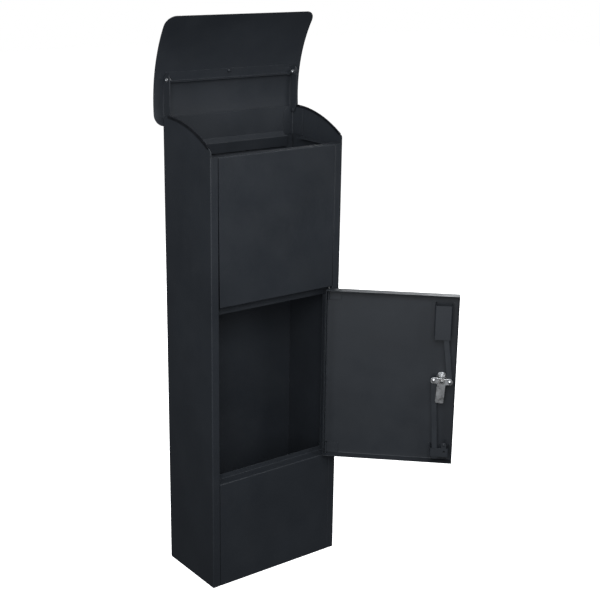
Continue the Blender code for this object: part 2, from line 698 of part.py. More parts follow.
def make_rod_guides():
    """Guides on the door: a raised crown, feet, a slotted bottom flange, and one screw."""
    foot = FRONT + SHEET + GAP + HALF
    crown = FRONT + 0.0346
    pieces = []
    layout = {
        "upper": ((-0.1450, -0.1390, -0.1010, -0.0915), (0.5820, 0.6655)),
        "lower": ((-0.1535, -0.1465, -0.1030, -0.0970), (0.2855, 0.3075)),
    }
    for word, (spots, (low, high)) in layout.items():
        points = [(spots[0], foot), (spots[1], foot), (spots[1], crown)]
        points += [(spots[2], crown), (spots[2], foot), (spots[3], foot)]
        guide = prism(f"rod_guide_{word}", folded(points), "Z", low, high, PAINT)
        near = (spots[1], foot, low)
        join(guide, block("flange", near, (spots[2], crown, low + SHEET)))
        near = (spots[1] + HALF + 0.0001, FRONT + ROD_NEAR - 0.0005, low - 0.01)
        far = (spots[2] - HALF - 0.0001, FRONT + ROD_FAR + 0.0005, low + 0.01)
        cut(guide, block("slot", near, far))
        pieces.append(guide)
    add_screw_tab(pieces[1], crown)
    seat = crown + HALF + GAP
    profile = [(0.0034, seat), (0.0034, seat + 0.0008), (0.0020, seat + 0.0020)]
    pieces.append(turned("guide_screw", profile, "Y", GUIDE_SCREW, PAINT, segments=20))
    return pieces


def add_screw_tab(guide, crown):
    """Raise a tab on the lower guide's crown for its screw and pierce the crown below it."""
    low = (GUIDE_SCREW[0] - 0.0058, crown - HALF, 0.3000)
    high = (GUIDE_SCREW[0] + 0.0058, crown + HALF, GUIDE_SCREW[1] + 0.0058)
    join(guide, block("tab", low, high))
    profile = [(0.0025, crown - 0.0020), (0.0025, crown + 0.0020)]
    cut(guide, turned("bore", profile, "Y", GUIDE_HOLE, segments=20))


def main():
    """Build the housing, the lid and the door with its lock."""
    clear_scene()
    make_base_plate()
    make_side_panel("side_panel_left", -1)
    make_side_panel("side_panel_right", 1)
    make_edge_trims()
    make_back_panel()
    make_front_panels()
    make_head()
    make_hinge_brackets()
    make_lid_hinge_pins()
    make_door_pivot_pins()
    lid = make_lid_shell() + make_lid_strip() + make_lid_arms()
    hang(lid, "lid_axis", (0.0, LID_HINGE[0], LID_HINGE[1]))
    fixed, plug = make_lock_body()
    door = [make_door_pan()] + make_knuckles() + fixed + make_rod_guides()
    upper_pin, lower_pin = rod_pins()
    moving = plug + make_cam()
    moving.append(make_rod("rod_upper", upper_pin, ROD_UPPER_END))
    moving.append(make_rod("rod_lower", lower_pin, ROD_LOWER_END))
    hang(door + moving, "door_axis", (PIVOT[0], FRONT + PIVOT[1], 0.0), DOOR_OPEN_DEG)


main()
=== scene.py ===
"""Looks of the parcel drop box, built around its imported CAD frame.

Every sheet piece is folded again here with finer bends, rounded edges and its small details.
The front panels are 0.5 mm wider on each side than in the frame and folded back along both sides.
The door and its lock are made in the closed position and then swung open with the frame's door.
"""

import json
import math

import bmesh
import bpy
from mathutils import Matrix, Vector


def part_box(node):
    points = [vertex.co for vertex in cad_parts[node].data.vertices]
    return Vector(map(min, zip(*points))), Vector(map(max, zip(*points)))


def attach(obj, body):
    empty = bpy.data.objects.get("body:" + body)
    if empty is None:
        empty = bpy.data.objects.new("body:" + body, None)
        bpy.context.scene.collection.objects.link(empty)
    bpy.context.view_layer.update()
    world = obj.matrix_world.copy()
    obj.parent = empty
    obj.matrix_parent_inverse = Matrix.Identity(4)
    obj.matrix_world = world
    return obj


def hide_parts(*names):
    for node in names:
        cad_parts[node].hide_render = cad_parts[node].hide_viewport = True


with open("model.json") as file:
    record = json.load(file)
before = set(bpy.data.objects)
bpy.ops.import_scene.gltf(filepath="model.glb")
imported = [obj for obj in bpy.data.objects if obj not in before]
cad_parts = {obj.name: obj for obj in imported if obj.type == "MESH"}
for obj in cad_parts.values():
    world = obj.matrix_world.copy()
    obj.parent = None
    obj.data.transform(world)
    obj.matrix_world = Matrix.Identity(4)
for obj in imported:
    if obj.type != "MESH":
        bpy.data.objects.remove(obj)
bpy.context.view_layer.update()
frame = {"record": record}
JOINTS = {joint["name"]: joint for joint in frame["record"]["behaviour"]["joints"]}
HOUSING_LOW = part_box("side_panel_left")[0]
HOUSING_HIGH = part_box("side_panel_right")[1]

# Camera
CAMERA_PLACE = (-1.5637, -2.2502, 1.4978)
CAMERA_YAW_DEG = 37.092
CAMERA_PITCH_DEG = 16.993
CAMERA_ROLL_DEG = 0.851
CAMERA_LENS = 72.85

# Colours
ROOM_TONE = (0.056, 0.058, 0.060)
LIGHT_TINT = (0.965, 0.985, 1.0)
PAINT_TONE = (0.0181, 0.0213, 0.0266)

# Housing
WIDTH = round(HOUSING_HIGH.x - HOUSING_LOW.x, 4)
DEPTH = round(HOUSING_HIGH.y - HOUSING_LOW.y, 4)
FRONT = -DEPTH / 2
BACK = DEPTH / 2
LEFT = -WIDTH / 2
RIGHT = WIDTH / 2
SIDES = (("left", -1), ("right", 1))
SHEET = 0.0012
HALF = SHEET / 2
BEND = 0.0020
GAP = 0.0003
RUNNING = 0.0001
FLANGE = 0.0207
BACK_RETURN = 0.0200
STOP_SETBACK = 0.0260
SIDE_LIP = 0.0280
MOUTH_Z = 1.0290
PANEL_GAP = 0.0003
TOP_RETURN = 0.0200
OPENING_LOW = 0.2628
OPENING_HIGH = 0.6900
LIP_LOW = 0.2745
LIP_HIGH = 0.6670
PANEL_RETURN = 0.0090
BACK_SHEET = (0.0026, 1.0930)
BASE_THICK = 0.0020
ANCHOR_RADIUS = 0.0055
ANCHOR_ACROSS = (-0.125, 0.125)
ANCHOR_BACK = (-0.045, 0.055)
HEAD_Z = (1.0910, 1.0340, 1.0235, 0.9985)
HEAD_BACK = (0.0038, 0.0140, 0.0098)
HEAD_INSET = 0.0240
RAIL_Z = (1.0080, 1.0230)
RAIL_EDGE = 0.0220
RAIL_SPAN = (0.0285, 0.1455)
BRACKET_Z = (1.0260, 1.0900)
BRACKET_CHEEK = 0.0450
BRACKET_FOOT = 0.0293

# Lid
ARC_CENTRE = (0.0775, 0.7777)
LID_RADIUS = 0.3200
LID_CLEARANCE = 0.0015
LID_HINGE = tuple(JOINTS["lid_hinge"]["pos_m"][1:])
LID_OPEN_DEG = JOINTS["lid_hinge"]["range_deg"][1]
LID_OVERHANG = 0.0200
LID_REAR_DEG = 86.05
LID_FRONT_DEG = 132.60
LID_CORNER = 0.0250
HINGE_CORNER = 0.0123
LID_BOLT = (0.0850, 1.1750)
BOLT_BORE = 0.0028
ARM_SPAN = (0.0042, 0.0067)
STUD_X = -0.0050
STUD_RADIUS = 0.0042
STRIP_DEG = 10.5
STRIP_EDGES = (0.0125, -0.0090)
PIN_RADIUS = 0.0022
TRIM_WALL = 0.0008
TRIM_REACH = 0.0045
TRIM_SPAN = (90.4, 121.4)

# Door and lock, in the closed position
PAN_LEFT = -0.1560
PAN_RIGHT = 0.1570
PAN_LOW = 0.2645
PAN_HIGH = 0.6865
PAN_DEPTH = 0.0250
DOOR_OPEN_DEG = -JOINTS["door_hinge"]["range_deg"][0]
PIVOT = (JOINTS["door_hinge"]["pos_m"][0], round(JOINTS["door_hinge"]["pos_m"][1] - FRONT, 6))
PIVOT_SPOT = (PIVOT[0], FRONT + PIVOT[1])
PIVOT_PIN_RADIUS = 0.0015
KNUCKLE_RADIUS = 0.0032
KNUCKLE_LENGTH = 0.0276
LOCK_X = -0.1229
LOCK_Z = 0.4793
LOCK_SPOT = (LOCK_X, LOCK_Z)
LOCK_BORE = 0.0098
STEM_BORE = 0.0043
CAM_REACH = 0.0545
CAM_ARM = 0.0190
CAM_END = 0.0074
CAM_TONGUE = 0.0100
CAM_TILT_DEG = 4.0
CAM_NEAR = 0.0320
CAM_FAR = 0.0360
ROD_NEAR = 0.0286
ROD_FAR = 0.0316
ROD_HALF = 0.0062
ROD_EYE = 0.0070
ROD_PIN_RADIUS = 0.0023
ROD_UPPER_END = (-0.1190, 0.6630)
ROD_LOWER_END = (-0.1150, 0.2790)
GUIDE_CROWN = 0.0346
GUIDE_UPPER = ((-0.1450, -0.1390, -0.1010, -0.0915), (0.5820, 0.6655))
GUIDE_LOWER = ((-0.1535, -0.1465, -0.1030, -0.0970), (0.2855, 0.3075))
SLOT_ROOM = 0.0005
TAB_RADIUS = 0.0058
TAB_FOOT = 0.3000
GUIDE_SCREW = (-0.1353, 0.3163)
GUIDE_HOLE = (-0.1367, 0.2993)
HOLE_RADIUS = 0.0025
THREAD_RADIUS = 0.0095
CYLINDER_BORE = 0.0061


# ---------------------------------------------------------------- stage


def make_camera():
    """Camera at the object's usual three-quarter view."""
    yaw = math.radians(CAMERA_YAW_DEG)
    pitch = math.radians(CAMERA_PITCH_DEG)
    roll = math.radians(CAMERA_ROLL_DEG)
    flat = math.cos(pitch)
    ahead = Vector((math.sin(yaw) * flat, math.cos(yaw) * flat, -math.sin(pitch)))
    level = Vector((math.cos(yaw), -math.sin(yaw), 0.0))
    upright = level.cross(ahead)
    right = level * math.cos(roll) + upright * math.sin(roll)
    up = upright * math.cos(roll) - level * math.sin(roll)
    camera = bpy.data.objects.new("camera", bpy.data.cameras.new("camera"))
    bpy.context.scene.collection.objects.link(camera)
    camera.data.lens = CAMERA_LENS
    camera.data.sensor_width = 36.0
    camera.data.clip_start = 0.05
    camera.data.clip_end = 60.0
    turn = Matrix((right, up, -ahead)).transposed().to_4x4()
    camera.matrix_world = Matrix.Translation(CAMERA_PLACE) @ turn
    bpy.context.scene.camera = camera


def area_light(name, place, aim, size, power, tint=LIGHT_TINT):
    """Soft rectangular light that faces a point."""
    data = bpy.data.lights.new(name, "AREA")
    data.shape = "RECTANGLE"
    data.size = size[0]
    data.size_y = size[1]
    data.energy = power
    data.color = tint
    light = bpy.data.objects.new(name, data)
    bpy.context.scene.collection.objects.link(light)
    light.location = place
    light.rotation_euler = (Vector(aim) - Vector(place)).to_track_quat("-Z", "Y").to_euler()
    return light


def make_surroundings():
    """White backdrop to look at, and a dimmer room for light and reflections."""
    world = bpy.data.worlds.new("studio")
    bpy.context.scene.world = world
    world.use_nodes = True
    nodes = world.node_tree.nodes
    links = world.node_tree.links
    background = nodes["Background"]
    path = nodes.new("ShaderNodeLightPath")
    seen = nodes.new("ShaderNodeMix")
    seen.data_type = "RGBA"
    seen.inputs[6].default_value = (*ROOM_TONE, 1.0)
    seen.inputs[7].default_value = (1.0, 1.0, 1.0, 1.0)
    links.new(path.outputs["Is Camera Ray"], seen.inputs[0])
    links.new(seen.outputs[2], background.inputs["Color"])


def make_floor():
    """Pale, evenly lit floor."""
    mesh = bpy.data.meshes.new("floor")
    reach = 12.0
    corners = [(-reach, -reach, 0), (reach, -reach, 0), (reach, reach, 0), (-reach, reach, 0)]
    mesh.from_pydata(corners, [], [(0, 1, 2, 3)])
    floor = bpy.data.objects.new("floor", mesh)
    bpy.context.scene.collection.objects.link(floor)
    floor.location = (0.0, 0.0, -0.0002)
    material = bpy.data.materials.new("floor_paint")
    material.use_nodes = True
    shader = material.node_tree.nodes["Principled BSDF"]
    shader.inputs["Base Color"].default_value = (0.90, 0.90, 0.90, 1.0)
    shader.inputs["Roughness"].default_value = 0.9
    shader.inputs["Emission Color"].default_value = (1.0, 1.0, 1.0, 1.0)
    shader.inputs["Emission Strength"].default_value = 1.0
    mesh.materials.append(material)
    floor.visible_diffuse = False
    floor.visible_glossy = False


def make_stage():
    """Pale floor, white surroundings and soft lights."""
    make_surroundings()
    make_floor()
    bpy.context.scene.view_settings.view_transform = "Standard"
    area_light("key", (-1.35, -1.95, 2.1), (0.0, 0.0, 0.75), (1.4, 1.2), 42.9)
    area_light("front", (0.9, -2.4, 2.0), (0.0, 0.0, 0.9), (1.2, 1.2), 17.5)
    area_light("top", (0.0, -0.7, 2.8), (0.0, 0.0, 0.9), (1.2, 1.2), 10.4)
    area_light("left", (-2.2, -0.3, 1.8), (0.0, 0.0, 0.8), (1.0, 1.0), 18.3)
    area_light("low", (-1.5, -2.0, 0.8), (0.2, -0.2, 0.5), (0.8, 0.8), 12.7)
    area_light("right", (2.3, 1.0, 1.7), (0.0, 0.0, 0.7), (1.4, 1.4), 34.0)
    area_light("rear", (0.9, 2.5, 2.0), (0.0, 0.0, 0.7), (1.6, 1.6), 44.0)


# ---------------------------------------------------------------- materials


class Look:
    """A node material under construction."""

    def __init__(self, name):
        self.material = bpy.data.materials.new(name)
        self.material.use_nodes = True
        self.nodes = self.material.node_tree.nodes
        self.links = self.material.node_tree.links
        self.shader = self.nodes["Principled BSDF"]
        self.place = self.nodes.new("ShaderNodeTexCoord").outputs["Object"]

    def stretched(self, scale):
        """Object coordinates scaled by a different amount on each axis."""
        mapping = self.nodes.new("ShaderNodeMapping")
        mapping.inputs["Scale"].default_value = scale
        self.links.new(self.place, mapping.inputs["Vector"])
        return mapping.outputs["Vector"]

    def noise(self, scale, detail=2.0, roughness=0.5, place=None):
        """Soft noise with about that many features per metre."""
        node = self.nodes.new("ShaderNodeTexNoise")
        node.inputs["Scale"].default_value = scale
        node.inputs["Detail"].default_value = detail
        node.inputs["Roughness"].default_value = roughness
        self.links.new(place or self.place, node.inputs["Vector"])
        return node.outputs["Fac"]

    def cells(self, scale):
        """Irregular crystals with about that many per metre."""
        node = self.nodes.new("ShaderNodeTexVoronoi")
        node.inputs["Scale"].default_value = scale
        self.links.new(self.place, node.inputs["Vector"])
        return node.outputs["Color"]

    def range(self, value, low, high, start=0.0, end=1.0):
        """Map a value from one range to another."""
        node = self.nodes.new("ShaderNodeMapRange")
        node.inputs["From Min"].default_value = low
        node.inputs["From Max"].default_value = high
        node.inputs["To Min"].default_value = start
        node.inputs["To Max"].default_value = end
        self.links.new(value, node.inputs["Value"])
        return node.outputs["Result"]

    def times(self, first, second):
        """Product of two values."""
        node = self.nodes.new("ShaderNodeMath")
        node.operation = "MULTIPLY"
        self.links.new(first, node.inputs[0])
        self.links.new(second, node.inputs[1])
        return node.outputs["Value"]

    def blend(self, factor, first, second):
        """Colour between two colours; each is a tuple or a socket."""
        node = self.nodes.new("ShaderNodeMix")
        node.data_type = "RGBA"
        self.links.new(factor, node.inputs[0])
        for socket, colour in ((node.inputs[6], first), (node.inputs[7], second)):
            if isinstance(colour, tuple):
                socket.default_value = (*colour, 1.0)
            else:
                self.links.new(colour, socket)
        return node.outputs[2]

    def bump(self, height, distance, strength, before=None):
        """Surface relief in metres, on top of any earlier relief."""
        node = self.nodes.new("ShaderNodeBump")
        node.inputs["Strength"].default_value = strength
        node.inputs["Distance"].default_value = distance
        self.links.new(height, node.inputs["Height"])
        if before is not None:
            self.links.new(before, node.inputs["Normal"])
        return node.outputs["Normal"]

    def finish(self, colour, roughness, normal, metallic=0.0, specular=0.5):
        """Connect the shader and return the material."""
        self.links.new(colour, self.shader.inputs["Base Color"])
        self.links.new(roughness, self.shader.inputs["Roughness"])
        self.links.new(normal, self.shader.inputs["Normal"])
        self.shader.inputs["Metallic"].default_value = metallic
        self.shader.inputs["Specular IOR Level"].default_value = specular
        return self.material


def tone(colour, factor):
    """Lighter or darker shade of a colour."""
    return tuple(channel * factor for channel in colour)


def powder_coat(name, colour=PAINT_TONE, worn=0.0):
    """Fine-textured powder coat: grain, slow tone changes, smudges, and rubbed edges."""
    look = Look(name)
    clouds = look.noise(7.0, 3.0)
    grain = look.noise(1500.0, 2.0, 0.6)
    peel = look.noise(420.0, 1.0)
    smudge = look.noise(16.0, 4.0, 0.6)
    shade = look.blend(look.range(clouds, 0.3, 0.7), tone(colour, 0.90), tone(colour, 1.10))
    specks = look.range(grain, 0.52, 0.78)
    shade = look.blend(look.times(specks, look.range(peel, 0.2, 0.8)), shade, tone(colour, 1.55))
    if worn:
        rub = look.range(look.noise(60.0, 4.0, 0.65), 0.50, 0.62, 0.0, worn)
        shade = look.blend(rub, shade, (0.105, 0.108, 0.115))
    roughness = look.range(smudge, 0.3, 0.7, 0.43, 0.60)
    normal = look.bump(peel, 0.00010, 0.5)
    normal = look.bump(grain, 0.00005, 0.7, normal)
    return look.finish(shade, roughness, normal, specular=0.42)


def zinc_plate(name):
    """Bright zinc plate with faint crystals, a brushed grain and a few dull patches."""
    look = Look(name)
    crystals = look.cells(420.0)
    strokes = look.noise(180.0, 3.0, 0.6, look.stretched((1.0, 1.0, 9.0)))
    patches = look.noise(90.0, 3.0, 0.6)
    shade = look.blend(look.range(patches, 0.35, 0.7), (0.80, 0.81, 0.83), (0.62, 0.63, 0.65))
    shade = look.blend(look.range(crystals, 0.55, 1.0, 0.0, 0.35), shade, (0.90, 0.91, 0.92))
    roughness = look.range(patches, 0.3, 0.7, 0.22, 0.42)
    normal = look.bump(strokes, 0.00004, 0.35)
    return look.finish(shade, roughness, normal, metallic=1.0)


def plain_steel(name):
    """Turned steel with fine rings of tool marks and slight tarnish."""
    look = Look(name)
    marks = look.noise(1400.0, 2.0, 0.6, look.stretched((1.0, 1.0, 0.3)))
    tarnish = look.noise(130.0, 4.0, 0.6)
    shade = look.blend(look.range(tarnish, 0.4, 0.72), (0.52, 0.52, 0.53), (0.34, 0.33, 0.32))
    roughness = look.range(tarnish, 0.3, 0.7, 0.28, 0.48)
    normal = look.bump(marks, 0.00003, 0.4)
    return look.finish(shade, roughness, normal, metallic=1.0)


def polished_chrome(name):
    """Polished plate with hairline scratches and faint finger marks."""
    look = Look(name)
    scratches = look.noise(900.0, 2.0, 0.7, look.stretched((0.12, 1.0, 1.0)))
    marks = look.noise(140.0, 3.0, 0.6)
    shade = look.blend(look.range(marks, 0.4, 0.7), (0.74, 0.75, 0.76), (0.62, 0.63, 0.65))
    roughness = look.range(marks, 0.35, 0.7, 0.10, 0.24)
    normal = look.bump(scratches, 0.00002, 0.25)
    return look.finish(shade, roughness, normal, metallic=1.0)


def rod_paint(name):
    """Satin black on flat bar, scuffed along its length where it slides."""
    look = Look(name)
    scuffs = look.noise(260.0, 4.0, 0.65, look.stretched((1.0, 1.0, 0.06)))
    clouds = look.noise(24.0, 3.0)
    tone_low, tone_high = (0.016, 0.019, 0.024), (0.022, 0.026, 0.032)
    shade = look.blend(look.range(clouds, 0.3, 0.7), tone_low, tone_high)
    shade = look.blend(look.range(scuffs, 0.62, 0.78, 0.0, 0.35), shade, (0.07, 0.08, 0.09))
    roughness = look.range(scuffs, 0.3, 0.7, 0.52, 0.36)
    normal = look.bump(scuffs, 0.00005, 0.4)
    return look.finish(shade, roughness, normal, specular=0.5)


def trim_rubber(name):
    """Soft black edge trim with a matt mould grain and dust in it."""
    look = Look(name)
    grain = look.noise(1800.0, 2.0, 0.6)
    dust = look.noise(70.0, 4.0, 0.6)
    shade = look.blend(look.range(dust, 0.45, 0.75), (0.003, 0.004, 0.006), (0.008, 0.009, 0.012))
    roughness = look.range(dust, 0.3, 0.7, 0.26, 0.40)
    normal = look.bump(grain, 0.00004, 0.5)
    return look.finish(shade, roughness, normal, specular=0.60)


# ---------------------------------------------------------------- mesh building


def make_object(name, work):
    """Turn a bmesh into an object in the scene."""
    bmesh.ops.recalc_face_normals(work, faces=work.faces)
    mesh = bpy.data.meshes.new(name)
    work.to_mesh(mesh)
    work.free()
    item = bpy.data.objects.new(name, mesh)
    bpy.context.scene.collection.objects.link(item)
    return item


def place_on(axis, point, level):
    """Point of a section lying across the given axis."""
    if axis == "X":
        return (level, point[0], point[1])
    if axis == "Y":
        return (point[0], level, point[1])
    return (point[0], point[1], level)


def skin(name, work, rings, tube=False):
    """Solid whose wall runs through rings of corners; a tube closes on its first ring."""
    pairs = list(zip(rings, rings[1:]))
    if tube:
        pairs.append((rings[-1], rings[0]))
    for first, second in pairs:
        for index in range(len(first)):
            after = (index + 1) % len(first)
            work.faces.new((first[index], first[after], second[after], second[index]))
    if not tube:
        work.faces.new(rings[0])
        work.faces.new(list(reversed(rings[-1])))
    return make_object(name, work)


def prism(name, outline, axis, low, high):
    """Closed solid with the same outline from low to high along an axis."""
    work = bmesh.new()
    rings = [
        [work.verts.new(place_on(axis, point, level)) for point in outline]
        for level in (low, high)
    ]
    return skin(name, work, rings)


def block(name, low, high):
    """Closed box between two corners."""
    outline = [(low[0], low[1]), (high[0], low[1]), (high[0], high[1]), (low[0], high[1])]
    return prism(name, outline, "Z", low[2], high[2])


def turned(name, profile, axis, centre, segments=48, tube=False):
    """Solid of revolution: the profile lists (radius, position along the axis)."""
    work = bmesh.new()
    rings = []
    for radius, level in profile:
        ring = []
        for index in range(segments):
            angle = 2 * math.pi * index / segments
            point = (centre[0] + radius * math.cos(angle), centre[1] + radius * math.sin(angle))
            ring.append(work.verts.new(place_on(axis, point, level)))
        rings.append(ring)
    return skin(name, work, rings, tube)


def combine(target, tool, operation):
    """Apply an exact boolean with a helper solid and remove the helper."""
    step = target.modifiers.new("step", "BOOLEAN")
    step.operation = operation
    step.solver = "EXACT"
    step.object = tool
    graph = bpy.context.evaluated_depsgraph_get()
    mesh = bpy.data.meshes.new_from_object(target.evaluated_get(graph))
    target.modifiers.clear()
    target.data = mesh
    bpy.data.objects.remove(tool, do_unlink=True)
    return target


def cut(target, tool):
    """Take the helper solid out of the target."""
    return combine(target, tool, "DIFFERENCE")


def join(target, tool):
    """Add the helper solid to the target."""
    return combine(target, tool, "UNION")


def pierce(target, radius, axis, centre, low, high, segments=32):
    """Drill a round hole between two levels along an axis."""
    return cut(target, turned("bore", [(radius, low), (radius, high)], axis, centre, segments))


def rounded_line(points, radius, steps=7):
    """Middle line of a folded sheet as (point, normal) pairs, with an arc at every bend."""
    spots = [Vector(point) for point in points]
    first = (spots[1] - spots[0]).normalized()
    line = [(spots[0], Vector((-first.y, first.x)))]
    for before, corner, after in zip(spots, spots[1:], spots[2:]):
        enter = (corner - before).normalized()
        leave = (after - corner).normalized()
        turn = math.atan2(enter.x * leave.y - enter.y * leave.x, enter.dot(leave))
        side = math.copysign(1.0, turn)
        normal = Vector((-enter.y, enter.x))
        start = corner - enter * radius * math.tan(abs(turn) / 2)
        centre = start + normal * side * radius
        for step in range(steps + 1):
            swung = Matrix.Rotation(turn * step / steps, 2) @ normal
            line.append((centre - swung * side * radius, swung))
    last = (spots[-1] - spots[-2]).normalized()
    line.append((spots[-1], Vector((-last.y, last.x))))
    return line


def folded(points, thickness=SHEET, radius=BEND):
    """Closed outline of a folded sheet around its middle line."""
    line = rounded_line(points, radius)
    near = [tuple(spot + normal * thickness / 2) for spot, normal in line]
    far = [tuple(spot - normal * thickness / 2) for spot, normal in line]
    return near + far[::-1]


def round_edges(item, radius, place, axis):
    """Round the sharp edges along an axis at the given place; None stands for any level."""
    work = bmesh.new()
    work.from_mesh(item.data)
    along = "XYZ".index(axis)
    edges = []
    for edge in work.edges:
        first, second = edge.verts[0].co, edge.verts[1].co
        span = abs(first[along] - second[along])
        off = [abs(first[part] - second[part]) for part in range(3) if part != along]
        here = all(
            level is None or abs(spot[part] - level) < 1e-5
            for spot in (first, second)
            for part, level in enumerate(place)
        )
        if span > 0.002 and max(off) < 1e-6 and here and edge.calc_face_angle(0.0) > 1.0:
            edges.append(edge)
    bmesh.ops.bevel(work, geom=edges, offset=radius, segments=5, profile=0.5, affect="EDGES")
    work.to_mesh(item.data)
    work.free()


def arc(centre, radius, start_deg, end_deg, steps):
    """Points on an arc, both ends included."""
    points = []
    for step in range(steps + 1):
        angle = math.radians(start_deg + (end_deg - start_deg) * step / steps)
        points.append((centre[0] + radius * math.cos(angle), centre[1] + radius * math.sin(angle)))
    return points


def rounded_rectangle(low, high, radius, steps=16):
    """Outline of a rectangle with equal corner radii."""
    points = arc((high[0] - radius, high[1] - radius), radius, 0, 90, steps)
    points += arc((low[0] + radius, high[1] - radius), radius, 90, 180, steps)
    points += arc((low[0] + radius, low[1] + radius), radius, 180, 270, steps)
    points += arc((high[0] - radius, low[1] + radius), radius, 270, 360, steps)
    return points


def spin(point, centre, degrees):
    """Turn a point about a centre in its own plane."""
    angle = math.radians(degrees)
    across = point[0] - centre[0]
    up = point[1] - centre[1]
    return (
        centre[0] + across * math.cos(angle) - up * math.sin(angle),
        centre[1] + across * math.sin(angle) + up * math.cos(angle),
    )


def polar(centre, radius, degrees, along=0.0):
    """Point at a radius from the centre, then shifted along the tangent."""
    angle = math.radians(degrees)
    across = radius * math.cos(angle) - along * math.sin(angle)
    up = radius * math.sin(angle) + along * math.cos(angle)
    return (centre[0] + across, centre[1] + up)


def from_front(profile):
    """Profile whose levels are counted from the front face."""
    return [(radius, FRONT + level) for radius, level in profile]


def ordered(first, second):
    """Two levels with the lower one first."""
    return (first, second) if first < second else (second, first)


# ---------------------------------------------------------------- finishing


DOOR_SWING = (
    Matrix.Translation((*PIVOT_SPOT, 0.0))
    @ Matrix.Rotation(math.radians(DOOR_OPEN_DEG), 4, "Z")
    @ Matrix.Translation((-PIVOT[0], -FRONT - PIVOT[1], 0.0))
)
SWUNG_BODIES = ("door", "lock", "upper_rod", "lower_rod")


def soften(item, width, segments=2, edge_slot=0, limit_deg=38.0):
    """Round the hard edges and keep the flats flat."""
    for face in item.data.polygons:
        face.use_smooth = True
    if width:
        bevel = item.modifiers.new("edges", "BEVEL")
        bevel.width = width
        bevel.segments = segments
        bevel.limit_method = "ANGLE"
        bevel.angle_limit = math.radians(limit_deg)
        bevel.use_clamp_overlap = False
        bevel.material = edge_slot
    item.data.set_sharp_from_angle(angle=math.radians(limit_deg))
    weighted = item.modifiers.new("flats", "WEIGHTED_NORMAL")
    weighted.keep_sharp = True
    weighted.weight = 100


def show(item, node, body, finish, width=0.00022, segments=2):
    """Let a finished piece stand for a CAD node and move with its body."""
    item.name = node + "_look"
    item.data.name = node + "_look"
    if body in SWUNG_BODIES:
        item.data.transform(DOOR_SWING)
    item.data.materials.clear()
    for material in LOOKS[finish]:
        item.data.materials.append(material)
    edge_slot = 1 if len(LOOKS[finish]) > 1 else 0
    soften(item, width, segments, edge_slot)
    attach(item, body)
    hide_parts(node)
    return item


LOOKS = {}


def make_looks():
    """Every finish, each with the look of its faces and, on paint, of its rubbed edges."""
    LOOKS["paint"] = [powder_coat("powder_coat"), powder_coat("powder_coat_edge", PAINT_TONE, 0.35)]
    LOOKS["zinc"] = [zinc_plate("zinc_plate")]
    LOOKS["steel"] = [plain_steel("turned_steel")]
    LOOKS["chrome"] = [polished_chrome("polished_chrome")]
    LOOKS["rod"] = [rod_paint("rod_paint")]
    LOOKS["rubber"] = [trim_rubber("trim_rubber")]


# ---------------------------------------------------------------- housing


def side_top_outline():
    """Section that trims a side panel: curved top, rounded rear corner, rounded front corner."""
    radius = LID_RADIUS - LID_CLEARANCE
    rear = math.degrees(math.acos((LID_HINGE[0] - ARC_CENTRE[0]) / radius))
    points = [(FRONT - 0.005, -0.010), (LID_HINGE[0] + HINGE_CORNER, -0.010)]
    points += arc(LID_HINGE, HINGE_CORNER - 0.0004, 0, 84, 16)
    points += arc(ARC_CENTRE, radius, rear, 121.6, 56)
    points += [(FRONT + 0.0031, 1.0462), (FRONT + 0.0018, 1.0447), (FRONT + 0.0009, 1.0425)]
    points += [(FRONT - 0.0003, 1.0395), (FRONT - 0.0008, 1.0370), (FRONT - 0.005, 1.0300)]
    return points


def make_side_panel(word, side):
    """Side sheet with a front flange, the door reveal behind it, a stop lip and a rear return."""
    wall = side * (WIDTH / 2 - HALF)
    reveal = side * (WIDTH / 2 - FLANGE + HALF)
    points = [
        (side * (WIDTH / 2 - BACK_RETURN), BACK - HALF),
        (wall, BACK - HALF),
        (wall, FRONT + HALF),
        (reveal, FRONT + HALF),
        (reveal, FRONT + STOP_SETBACK + HALF),
        (side * (WIDTH / 2 - SIDE_LIP), FRONT + STOP_SETBACK + HALF),
    ]
    panel = prism("panel", folded(points), "Z", 0.0, 1.110)
    combine(panel, prism("trim", side_top_outline(), "X", LEFT - 0.01, RIGHT + 0.01), "INTERSECT")
    deep = side * (WIDTH / 2 - 0.0400)
    low, high = ordered(side * (WIDTH / 2 - 0.0030), deep)
    cut(panel, block("mouth", (low, FRONT - 0.01, MOUTH_Z), (high, FRONT + 0.04, 1.2)))
    low, high = ordered(side * (WIDTH / 2 - FLANGE - 0.0005), deep)
    for bottom, top in ((-0.01, LIP_LOW + 0.0010), (LIP_HIGH - 0.0010, 1.2)):
        cut(panel, block("lip", (low, FRONT + 0.020, bottom), (high, FRONT + 0.04, top)))
    low, high = ordered(side * (WIDTH / 2 - FLANGE + 0.0008), side * (WIDTH / 2 - HALF))
    near = (low, FRONT + HALF, MOUTH_Z - SHEET)
    join(panel, block("cap", near, (high, FRONT + STOP_SETBACK + HALF, MOUTH_Z)))
    node = f"side_panel_{word}"
    return show(panel, node, "housing", "paint")


